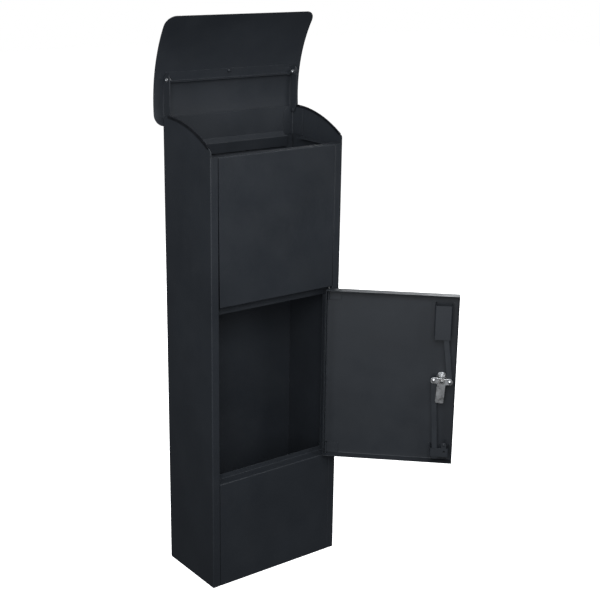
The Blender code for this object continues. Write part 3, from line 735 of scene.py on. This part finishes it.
def make_edge_trim(word, side):
    """Soft trim with a rounded crown pressed over the side panel's curved edge."""
    edge = LID_RADIUS - LID_CLEARANCE
    foot = edge - TRIM_REACH
    seat = edge + GAP
    top = seat + TRIM_WALL
    outer = WIDTH / 2 + GAP
    inner = WIDTH / 2 - SHEET - GAP
    wide = outer + TRIM_WALL
    narrow = inner - TRIM_WALL
    section = [(outer, foot), (outer, seat), (inner, seat), (inner, foot)]
    section += [(narrow + 0.0002, foot), (narrow, foot + 0.0003), (narrow, top - 0.0007)]
    section += arc((narrow + 0.0007, top - 0.0007), 0.0007, 180, 90, 6)[1:]
    section += arc((wide - 0.0007, top - 0.0007), 0.0007, 90, 0, 6)
    section += [(wide, foot + 0.0003), (wide - 0.0002, foot)]
    steps = 48
    work = bmesh.new()
    rings = []
    for step in range(steps + 1):
        at = TRIM_SPAN[0] + (TRIM_SPAN[1] - TRIM_SPAN[0]) * step / steps
        ring = []
        for across, radius in section:
            back, up = polar(ARC_CENTRE, radius, at)
            ring.append(work.verts.new((side * across, back, up)))
        rings.append(ring)
    return show(skin("trim", work, rings), f"edge_trim_{word}", "housing", "rubber", 0.00012)


def make_back_panel():
    """Flat rear sheet between the side returns."""
    low = (LEFT + SHEET + 0.0010, BACK - SHEET - GAP - SHEET, BACK_SHEET[0])
    high = (RIGHT - SHEET - 0.0010, BACK - SHEET - GAP, BACK_SHEET[1])
    return show(block("sheet", low, high), "back_panel", "housing", "paint")


def make_front_panels():
    """Upper and lower front sheets, folded into the door opening and back along both sides."""
    left = LEFT + FLANGE + PANEL_GAP
    right = RIGHT - FLANGE - PANEL_GAP
    stop = FRONT + STOP_SETBACK + HALF
    upper = [
        (FRONT + TOP_RETURN, MOUTH_Z - HALF),
        (FRONT + HALF, MOUTH_Z - HALF),
        (FRONT + HALF, OPENING_HIGH + HALF),
        (stop, OPENING_HIGH + HALF),
        (stop, LIP_HIGH),
    ]
    lower = [
        (stop, LIP_LOW),
        (stop, OPENING_LOW - HALF),
        (FRONT + HALF, OPENING_LOW - HALF),
        (FRONT + HALF, 0.0),
    ]
    radius = PIVOT_PIN_RADIUS + RUNNING
    for node, points, level, low, high in (
        ("front_panel_upper", upper, OPENING_HIGH, OPENING_HIGH + SHEET, MOUTH_Z - SHEET),
        ("front_panel_lower", lower, OPENING_LOW, 0.0025, OPENING_LOW - SHEET),
    ):
        panel = prism("panel", folded(points), "X", left, right)
        for near, far in ((left, left + SHEET), (right - SHEET, right)):
            inner, outer = (near, FRONT + HALF, low), (far, FRONT + PANEL_RETURN, high)
            join(panel, block("return", inner, outer))
        pierce(panel, radius, "Z", PIVOT_SPOT, level - 0.0016, level + 0.0016)
        round_edges(panel, 0.0011, (None, FRONT, None), "Z")
        show(panel, node, "housing", "paint")


def make_base_plate():
    """Floor of the box, notched around the front flanges, with holes for ground anchors."""
    side = WIDTH / 2 - SHEET - GAP
    inner = WIDTH / 2 - FLANGE
    front = FRONT + SHEET
    notch = FRONT + STOP_SETBACK + SHEET
    rear = BACK - SHEET - GAP
    outline = [(-inner, front), (inner, front), (inner, notch), (side, notch)]
    outline += [(side, rear - 0.0015), (side - 0.0015, rear), (-side + 0.0015, rear)]
    outline += [(-side, rear - 0.0015), (-side, notch), (-inner, notch)]
    plate = prism("plate", outline, "Z", 0.0, BASE_THICK)
    for across in ANCHOR_ACROSS:
        for back in ANCHOR_BACK:
            pierce(plate, ANCHOR_RADIUS, "Z", (across, back), -0.01, 0.01, 40)
    show(plate, "base_plate", "housing", "paint")


def make_head():
    """Plate behind the mouth with a sloped step and a lower band, and the mouth's two rails."""
    rear, front, foot = (BACK - inset for inset in HEAD_BACK)
    points = list(zip((rear, rear, front, foot), HEAD_Z))
    plate = prism("plate", folded(points), "X", LEFT + HEAD_INSET, RIGHT - HEAD_INSET)
    for word, side in SIDES:
        low, high = ordered(side * (WIDTH / 2 - 0.0300), side * WIDTH / 2)
        cut(plate, block("corner", (low, BACK - 0.02, 1.0255), (high, BACK + 0.01, 1.2)))
        wall = side * (WIDTH / 2 - SHEET - GAP - HALF)
        edge = side * (WIDTH / 2 - RAIL_EDGE)
        points = [(wall, RAIL_Z[0]), (wall, RAIL_Z[1]), (edge, RAIL_Z[1])]
        rail = prism("rail", folded(points), "Y", FRONT + RAIL_SPAN[0], FRONT + RAIL_SPAN[1])
        show(rail, f"mouth_rail_{word}", "housing", "paint")
    show(plate, "head_plate", "housing", "paint")


def make_hinge_bracket(word, side):
    """Upright bracket inside the side panel that holds the lid's pin."""
    cheek = side * (WIDTH / 2 - SHEET - GAP - HALF - 0.0001)
    foot = side * (WIDTH / 2 - BRACKET_FOOT)
    rear = BACK - HEAD_BACK[0]
    points = [(cheek, BACK - BRACKET_CHEEK), (cheek, rear), (foot, rear)]
    bracket = prism("bracket", folded(points), "Z", *BRACKET_Z)
    low, high = ordered(side * (WIDTH / 2 - 0.0031), side * (WIDTH / 2 - 0.0080))
    cut(bracket, block("clear", (low, BACK - 0.02, 1.0765), (high, BACK + 0.01, 1.2)))
    corner = side * (WIDTH / 2 - 0.0310)
    inner = side * (WIDTH / 2 - 0.0190)
    outline = [(corner, 1.0780), (corner, 1.1000), (inner, 1.1000), (inner, 1.0905)]
    cut(bracket, prism("corner", outline, "Y", BACK - 0.02, BACK + 0.01))
    low, high = ordered(side * (WIDTH / 2), side * (WIDTH / 2 - 0.0100))
    pierce(bracket, PIN_RADIUS + RUNNING, "X", LID_HINGE, low, high)
    show(bracket, f"hinge_bracket_{word}", "housing", "paint")


def make_lid_hinge_pin(word, side):
    """Short pin with a domed head, painted over with the bracket."""
    start = side * (WIDTH / 2 - SHEET - 0.0004)
    seat = side * (WIDTH / 2 - 0.0071)
    profile = [(PIN_RADIUS, start), (PIN_RADIUS, seat), (0.0040, seat)]
    for step in range(1, 6):
        angle = math.radians(18 * step)
        level = WIDTH / 2 - 0.0074 - 0.0014 * math.sin(angle)
        profile.append((0.0002 + 0.0038 * math.cos(angle), side * level))
    pin = turned("pin", profile, "X", LID_HINGE)
    show(pin, f"lid_hinge_pin_{word}", "housing", "paint", 0.0)


def make_door_pivot_pins():
    """Headed pins that drop through the frame's folds into the door's knuckles."""
    thin = PIVOT_PIN_RADIUS
    head = 0.0019
    top = OPENING_HIGH + SHEET + GAP
    upper = [(thin - 0.0003, PAN_HIGH - KNUCKLE_LENGTH + 0.002)]
    upper += [(thin, PAN_HIGH - KNUCKLE_LENGTH + 0.0024), (thin, top + 0.0014)]
    upper += [(head, top + 0.0014), (head, top + 0.0029), (head - 0.0004, top + 0.0034)]
    upper += [(head - 0.0010, top + 0.0036)]
    low = OPENING_LOW - SHEET - GAP
    lower = [(head - 0.0010, low - 0.0036), (head - 0.0004, low - 0.0034)]
    lower += [(head, low - 0.0029), (head, low - 0.0014), (thin, low - 0.0014)]
    lower += [(thin, PAN_LOW + KNUCKLE_LENGTH - 0.0024)]
    lower += [(thin - 0.0003, PAN_LOW + KNUCKLE_LENGTH - 0.002)]
    for word, profile in (("upper", upper), ("lower", lower)):
        pin = turned("pin", profile, "Z", PIVOT_SPOT, segments=32)
        show(pin, f"door_pivot_pin_{word}", "housing", "steel", 0.0)


# ---------------------------------------------------------------- lid


def lid_frame():
    """Centre of the open lid's curve and its middle direction."""
    centre = spin(ARC_CENTRE, LID_HINGE, -LID_OPEN_DEG)
    middle = (LID_REAR_DEG + LID_FRONT_DEG) / 2 - LID_OPEN_DEG
    return centre, middle


def make_lid_shell():
    """Curved lid sheet with four rounded corners, modelled open."""
    centre, middle = lid_frame()
    half_span = (LID_FRONT_DEG - LID_REAR_DEG) / 2
    start = middle - half_span - 1.5
    end = middle + half_span + 1.5
    section = arc(centre, LID_RADIUS, start, end, 72)
    section += arc(centre, LID_RADIUS + SHEET, end, start, 72)
    reach = WIDTH / 2 + LID_OVERHANG
    lid = prism("lid", section, "X", -reach - 0.005, reach + 0.005)
    chord = LID_RADIUS * math.sin(math.radians(half_span))
    outline = rounded_rectangle((-reach, -chord), (reach, chord), LID_CORNER)
    tool = prism("corners", outline, "Y", 0.200, 0.400)
    lean = Matrix.Rotation(math.radians(middle), 4, "X")
    tool.data.transform(Matrix.Translation((0.0, centre[0], centre[1])) @ lean)
    combine(lid, tool, "INTERSECT")
    show(lid, "lid_shell", "lid", "paint", 0.00035, 3)


def make_lid_strip():
    """Cross strip inside the lid with an ear at each end for the lid arms."""
    centre, _ = lid_frame()
    radius = LID_RADIUS - HALF - 0.00045
    points = [polar(centre, radius, STRIP_DEG, edge) for edge in STRIP_EDGES]
    points.append(polar(centre, radius - 0.009, STRIP_DEG, STRIP_EDGES[1]))
    strip = prism("strip", folded(points), "X", LEFT + 0.0076, RIGHT - 0.0076)
    ear = [(0.0770, 1.1670), (0.0770, 1.1840)]
    ear += arc((0.0800, 1.1840), 0.0030, 180, 90, 6)
    ear += [(0.0952, 1.1870), (0.0988, 1.1670)]
    for _, side in SIDES:
        low, high = ordered(side * (WIDTH / 2 - 0.0070), side * (WIDTH / 2 - 0.0082))
        join(strip, prism("ear", ear, "X", low, high))
    pierce(strip, BOLT_BORE, "X", LID_BOLT, LEFT, RIGHT)
    show(strip, "lid_strip", "lid", "paint")
    profile = [(STUD_RADIUS, 0.0), (STUD_RADIUS, 0.0014)]
    for step in range(1, 8):
        angle = math.radians(12 * step)
        profile.append((STUD_RADIUS * math.cos(angle), 0.0014 + 0.0036 * math.sin(angle)))
    stud = turned("stud", profile, "Z", (0.0, 0.0), segments=40)
    seat = polar(centre, radius - HALF - GAP, STRIP_DEG, 0.0080)
    lean = Matrix.Rotation(math.radians(90.0 + STRIP_DEG), 4, "X")
    stud.data.transform(Matrix.Translation((STUD_X, seat[0], seat[1])) @ lean)
    show(stud, "lid_centre_stud", "lid", "paint", 0.0)


def lid_arm_outline():
    """Arm from the hinge eye, past the back panel's edge, up to the lid bolt."""
    eye = arc(LID_HINGE, 0.0055, 185, 352, 28)
    rear = [(0.0936, 1.0940), (0.0970, 1.1010)]
    head = arc(LID_BOLT, 0.0120, 0, 180, 32)
    return eye + rear + head + [(0.0730, 1.1020)]


def hexagon(centre, radius, start_deg):
    """Corners of a hexagon."""
    return arc(centre, radius, start_deg, start_deg + 300, 5)


def hex_nut(centre, radius, bore, axis, low, high, start_deg=0.0):
    """Hexagonal nut with turned-off corners at both ends and a bore."""
    nut = prism("nut", hexagon(centre, radius, start_deg), axis, low, high)
    drop = radius * 0.16
    profile = [(radius * 0.86, low), (radius * 1.02, low + drop)]
    profile += [(radius * 1.02, high - drop), (radius * 0.86, high)]
    combine(nut, turned("round", profile, axis, centre, segments=60), "INTERSECT")
    return pierce(nut, bore, axis, centre, low - 0.01, high + 0.01, 40)


def make_lid_arm(word, side):
    """Flat arm, its low round-headed bolt with a hexagon socket, and its hexagonal nut."""
    low, high = ordered(*(side * (WIDTH / 2 - inset) for inset in ARM_SPAN))
    arm = prism("arm", lid_arm_outline(), "X", low, high)
    for radius, centre in ((PIN_RADIUS + RUNNING, LID_HINGE), (BOLT_BORE, LID_BOLT)):
        pierce(arm, radius, "X", centre, low - 0.01, high + 0.01)
    show(arm, f"lid_arm_{word}", "lid", "paint", 0.0003)
    profile = [(0.0020, 0.0026), (0.0034, 0.0027), (0.0044, 0.0029), (0.0050, 0.0033)]
    profile += [(0.0050, 0.0039), (0.0025, 0.0039), (0.0025, 0.0138), (0.0021, 0.0142)]
    profile = [(radius, side * (WIDTH / 2 - level)) for radius, level in profile]
    bolt = turned("bolt", profile, "X", LID_BOLT, segments=48)
    mouth, floor = side * (WIDTH / 2 - 0.0020), side * (WIDTH / 2 - 0.0034)
    low, high = ordered(mouth, floor)
    cut(bolt, prism("socket", hexagon(LID_BOLT, 0.0017, 30), "X", low, high))
    show(bolt, f"lid_bolt_{word}", "lid", "zinc", 0.00008)
    low, high = ordered(side * (WIDTH / 2 - 0.0085), side * (WIDTH / 2 - 0.0122))
    nut = hex_nut(LID_BOLT, 0.0050, BOLT_BORE, "X", low, high)
    show(nut, f"lid_nut_{word}", "lid", "zinc", 0.00008)


# ---------------------------------------------------------------- door


def round_front_edges(item, radius):
    """Round the four edges around the face that looks to the front."""
    work = bmesh.new()
    work.from_mesh(item.data)
    front = min(vertex.co.y for vertex in work.verts)
    edges = [
        edge for edge in work.edges
        if all(abs(vertex.co.y - front) < 1e-6 for vertex in edge.verts)
    ]
    bmesh.ops.bevel(work, geom=edges, offset=radius, segments=7, profile=0.5, affect="EDGES")
    bmesh.ops.recalc_face_normals(work, faces=work.faces)
    work.to_mesh(item.data)
    work.free()


def make_door_pan():
    """Door sheet with folded flanges, open corner seams, a lock hole and knuckle notches."""
    low = (PAN_LEFT, FRONT, PAN_LOW)
    high = (PAN_RIGHT, FRONT + PAN_DEPTH, PAN_HIGH)
    pan = block("pan", low, high)
    round_front_edges(pan, BEND + HALF)
    near = (PAN_LEFT + SHEET, FRONT + SHEET, PAN_LOW + SHEET)
    far = (PAN_RIGHT - SHEET, FRONT + PAN_DEPTH + 0.01, PAN_HIGH - SHEET)
    inner = block("inside", near, far)
    round_front_edges(inner, BEND - HALF)
    cut(pan, inner)
    cut_corner_seams(pan)
    edge = PIVOT[0] - KNUCKLE_RADIUS - 0.0008
    reach = KNUCKLE_LENGTH + 0.0012
    for low_z, high_z in ((PAN_LOW - 0.01, PAN_LOW + reach), (PAN_HIGH - reach, PAN_HIGH + 0.01)):
        near = (edge, FRONT - 0.01, low_z)
        far = (PAN_RIGHT + 0.01, FRONT + 0.0095, high_z)
        cut(pan, block("notch", near, far))
    pierce(pan, LOCK_BORE, "Y", LOCK_SPOT, FRONT - 0.01, FRONT + 0.01, 48)
    show(pan, "door_pan", "door", "paint")


def cut_corner_seams(pan):
    """Saw a thin seam between neighbouring flanges at each corner of the pan."""
    thin = 0.00035
    for across, inward in ((PAN_LEFT, 1), (PAN_RIGHT, -1)):
        for up in (PAN_LOW, PAN_HIGH):
            low, high = ordered(across - inward * 0.002, across + inward * (SHEET + 0.0002))
            flange = PAN_LOW + SHEET if up == PAN_LOW else PAN_HIGH - SHEET
            near = (low, FRONT + 0.0060, flange - thin / 2)
            far = (high, FRONT + PAN_DEPTH + 0.01, flange + thin / 2)
            cut(pan, block("seam", near, far))


def make_knuckles():
    """Bored barrels at the door's hinge corners, each with a leaf behind the door sheet."""
    levels = {
        "upper": (PAN_HIGH - KNUCKLE_LENGTH, PAN_HIGH - 0.0008),
        "lower": (PAN_LOW + 0.0008, PAN_LOW + KNUCKLE_LENGTH),
    }
    radius = PIVOT_PIN_RADIUS + RUNNING
    for word, (low, high) in levels.items():
        profile = [(KNUCKLE_RADIUS, low), (KNUCKLE_RADIUS, high)]
        knuckle = turned("knuckle", profile, "Z", PIVOT_SPOT)
        near = (PIVOT[0] - 0.0300, FRONT + 0.0018, max(low, PAN_LOW + 0.0016))
        far = (PIVOT[0] - 0.0019, FRONT + 0.0036, min(high, PAN_HIGH - 0.0016))
        join(knuckle, block("leaf", near, far))
        pierce(knuckle, radius, "Z", PIVOT_SPOT, low - 0.01, high + 0.01)
        show(knuckle, f"door_knuckle_{word}", "door", "paint", 0.0002)


def make_rod_guide(word, spots, heights):
    """Folded guide: a raised crown on two feet, open above, with a slotted flange below."""
    low, high = heights
    foot = FRONT + SHEET + GAP + HALF
    crown = FRONT + GUIDE_CROWN
    points = [(spots[0], foot), (spots[1], foot), (spots[1], crown)]
    points += [(spots[2], crown), (spots[2], foot), (spots[3], foot)]
    guide = prism("guide", folded(points), "Z", low, high)
    join(guide, block("flange", (spots[1], foot, low), (spots[2], crown, low + SHEET)))
    near = (spots[1] + HALF + 0.0001, FRONT + ROD_NEAR - SLOT_ROOM, low - 0.01)
    far = (spots[2] - HALF - 0.0001, FRONT + ROD_FAR + SLOT_ROOM, low + 0.01)
    cut(guide, block("slot", near, far))
    round_edges(guide, 0.0009, (None, crown + HALF, high), "X")
    if word == "lower":
        add_screw_tab(guide, crown)
    show(guide, f"rod_guide_{word}", "door", "paint", 0.00025)


def add_screw_tab(guide, crown):
    """Raise a rounded tab on the lower guide's crown for its screw and pierce the crown."""
    outline = [(GUIDE_SCREW[0] - TAB_RADIUS, TAB_FOOT), (GUIDE_SCREW[0] + TAB_RADIUS, TAB_FOOT)]
    outline += arc(GUIDE_SCREW, TAB_RADIUS, 0, 180, 20)
    join(guide, prism("tab", outline, "Y", crown - HALF, crown + HALF))
    pierce(guide, HOLE_RADIUS, "Y", GUIDE_HOLE, crown - 0.0020, crown + 0.0020)


def make_guide_screw():
    """Round-headed screw with a cross recess."""
    seat = FRONT + GUIDE_CROWN + HALF + GAP
    profile = [(0.0034, seat), (0.0034, seat + 0.0005), (0.0031, seat + 0.0011)]
    profile += [(0.0024, seat + 0.0016), (0.0014, seat + 0.0019), (0.0004, seat + 0.0020)]
    screw = turned("screw", profile, "Y", GUIDE_SCREW, segments=40)
    for wide, tall in ((0.0015, 0.0003), (0.0003, 0.0015)):
        near = (GUIDE_SCREW[0] - wide, seat + 0.0011, GUIDE_SCREW[1] - tall)
        far = (GUIDE_SCREW[0] + wide, seat + 0.0030, GUIDE_SCREW[1] + tall)
        cut(screw, block("recess", near, far))
    show(screw, "guide_screw", "door", "paint", 0.00005)


# ---------------------------------------------------------------- lock


def make_lock_body():
    """Threaded cylinder with its bezel outside, and the ring nut that clamps it."""
    wide, bore = THREAD_RADIUS, CYLINDER_BORE
    root = wide - 0.0004
    profile = [(bore, -0.0028), (bore + 0.0003, -0.0030), (0.0108, -0.0030), (0.0115, -0.0028)]
    profile += [(0.0120, -0.0022), (0.0120, -0.0003), (wide, -0.0003), (wide, 0.0012)]
    level = 0.0064
    while level < 0.0262:
        profile += [(wide, level), (root, level + 0.0004), (wide, level + 0.0008)]
        level += 0.0010
    profile += [(wide, 0.0270), (root, 0.0275), (bore, 0.0275)]
    body = turned("body", from_front(profile), "Y", LOCK_SPOT, segments=64, tube=True)
    show(body, "lock_body", "door", "zinc", 0.0)
    nut = hex_nut(LOCK_SPOT, 0.0138, LOCK_BORE, "Y", FRONT + 0.0015, FRONT + 0.0062)
    show(nut, "lock_nut", "door", "zinc", 0.00015)


def make_lock_plug():
    """Turning plug with the key slot outside and the cam's stem inside."""
    profile = [(0.0048, -0.0036), (0.0055, -0.0034), (0.0060, -0.0027), (0.0060, 0.0280)]
    profile += [(0.0040, 0.0280), (0.0040, 0.0400), (0.0034, 0.0406)]
    plug = turned("plug", from_front(profile), "Y", LOCK_SPOT, segments=56)
    near = (LOCK_X - 0.0006, FRONT - 0.010, LOCK_Z - 0.0030)
    far = (LOCK_X + 0.0006, FRONT + 0.0040, LOCK_Z + 0.0030)
    cut(plug, block("key_slot", near, far))
    near = (LOCK_X - 0.0012, FRONT - 0.010, LOCK_Z - 0.0014)
    far = (LOCK_X + 0.0006, FRONT + 0.0040, LOCK_Z + 0.0002)
    cut(plug, block("key_ward", near, far))
    show(plug, "lock_plug", "lock", "chrome", 0.0001)


def cam_outline():
    """T shape: two short arms for the rods and a long tongue, in its unlocked position."""
    half = CAM_TONGUE
    points = arc((CAM_ARM, 0.0), CAM_END, -70, 90, 24)
    points += arc((-CAM_ARM, 0.0), CAM_END, 90, 250, 24)
    points += [(-half - 0.0022, -CAM_END + 0.0001)]
    points += arc((-half - 0.0020, -CAM_END - 0.0020), 0.0020, 90, 0, 6)
    points += arc((-half + 0.003, -CAM_REACH + 0.003), 0.003, 180, 270, 10)
    points += arc((half - 0.003, -CAM_REACH + 0.003), 0.003, 270, 360, 10)
    points += arc((half + 0.0020, -CAM_END - 0.0020), 0.0020, 180, 90, 6)
    points += [(half + 0.0022, -CAM_END + 0.0001)]
    turned_points = [spin(point, (0.0, 0.0), CAM_TILT_DEG) for point in points]
    return [(LOCK_X + across, LOCK_Z + up) for across, up in turned_points]


def rod_pins():
    """Places of the upper and the lower rod's pin on the cam's arms."""
    return [spin((LOCK_X + arm, LOCK_Z), LOCK_SPOT, CAM_TILT_DEG) for arm in (-CAM_ARM, CAM_ARM)]


def make_cam():
    """Stamped cam with rounded edges, its washer and nut, and a rivet for each rod."""
    cam = prism("cam", cam_outline(), "Y", FRONT + CAM_NEAR, FRONT + CAM_FAR)
    upper, lower = rod_pins()
    for spot, radius in ((LOCK_SPOT, STEM_BORE), (upper, 0.0026), (lower, 0.0026)):
        pierce(cam, radius, "Y", spot, FRONT + 0.02, FRONT + 0.05, 40)
    show(cam, "lock_cam", "lock", "zinc", 0.00045, 3)
    profile = [(STEM_BORE, 0.0363), (0.0078, 0.0363), (0.0080, 0.0365), (0.0080, 0.0371)]
    profile += [(0.0078, 0.0373), (STEM_BORE, 0.0373)]
    washer = turned("washer", from_front(profile), "Y", LOCK_SPOT, segments=56, tube=True)
    show(washer, "cam_washer", "lock", "steel", 0.0)
    nut = hex_nut(LOCK_SPOT, 0.0068, STEM_BORE, "Y", FRONT + 0.0376, FRONT + 0.0402, 15)
    show(nut, "cam_nut", "lock", "steel", 0.0001)
    for word, spot in (("upper", upper), ("lower", lower)):
        thin = ROD_PIN_RADIUS
        profile = [(0.0034, 0.0272), (0.0040, 0.0277), (0.0040, 0.0283), (thin, 0.0283)]
        profile += [(thin, 0.0363), (0.0042, 0.0363), (0.0042, 0.0368), (0.0038, 0.0374)]
        profile += [(0.0030, 0.0379), (0.0018, 0.0382), (0.0006, 0.0382)]
        rivet = turned("rivet", from_front(profile), "Y", spot, segments=40)
        show(rivet, f"rod_pin_{word}", "lock", "zinc", 0.0)


def make_rod(word, pin, end):
    """Flat rod from its pin on the cam to the end that slides behind the frame's lip."""
    length = math.hypot(end[0] - pin[0], end[1] - pin[1])
    heading = math.degrees(math.atan2(end[1] - pin[1], end[0] - pin[0]))
    outline = arc((0.0, 0.0), ROD_EYE, 65, 295, 28)
    corner = 0.0012
    outline += [(length - corner, -ROD_HALF), (length, -ROD_HALF + corner)]
    outline += [(length, ROD_HALF - corner), (length - corner, ROD_HALF)]
    outline = [spin(point, (0.0, 0.0), heading) for point in outline]
    outline = [(pin[0] + across, pin[1] + up) for across, up in outline]
    rod = prism("rod", outline, "Y", FRONT + ROD_NEAR, FRONT + ROD_FAR)
    pierce(rod, ROD_PIN_RADIUS + RUNNING, "Y", pin, FRONT + 0.02, FRONT + 0.05, 48)
    show(rod, f"rod_{word}", f"{word}_rod", "rod", 0.0003)


# ---------------------------------------------------------------- whole


def make_housing():
    """Everything that stands still."""
    make_base_plate()
    make_back_panel()
    make_front_panels()
    make_head()
    for word, side in SIDES:
        make_side_panel(word, side)
        make_edge_trim(word, side)
        make_hinge_bracket(word, side)
        make_lid_hinge_pin(word, side)
    make_door_pivot_pins()


def make_lid():
    """Curved sheet with its strip, arms and bolts."""
    make_lid_shell()
    make_lid_strip()
    for word, side in SIDES:
        make_lid_arm(word, side)


def make_door():
    """Pan, knuckles and rod guides, with the lock and its rods."""
    make_door_pan()
    make_knuckles()
    make_rod_guide("upper", *GUIDE_UPPER)
    make_rod_guide("lower", *GUIDE_LOWER)
    make_guide_screw()
    make_lock_body()
    make_lock_plug()
    make_cam()
    upper, lower = rod_pins()
    make_rod("upper", upper, ROD_UPPER_END)
    make_rod("lower", lower, ROD_LOWER_END)


make_camera()
make_stage()
make_looks()
make_housing()
make_lid()
make_door()
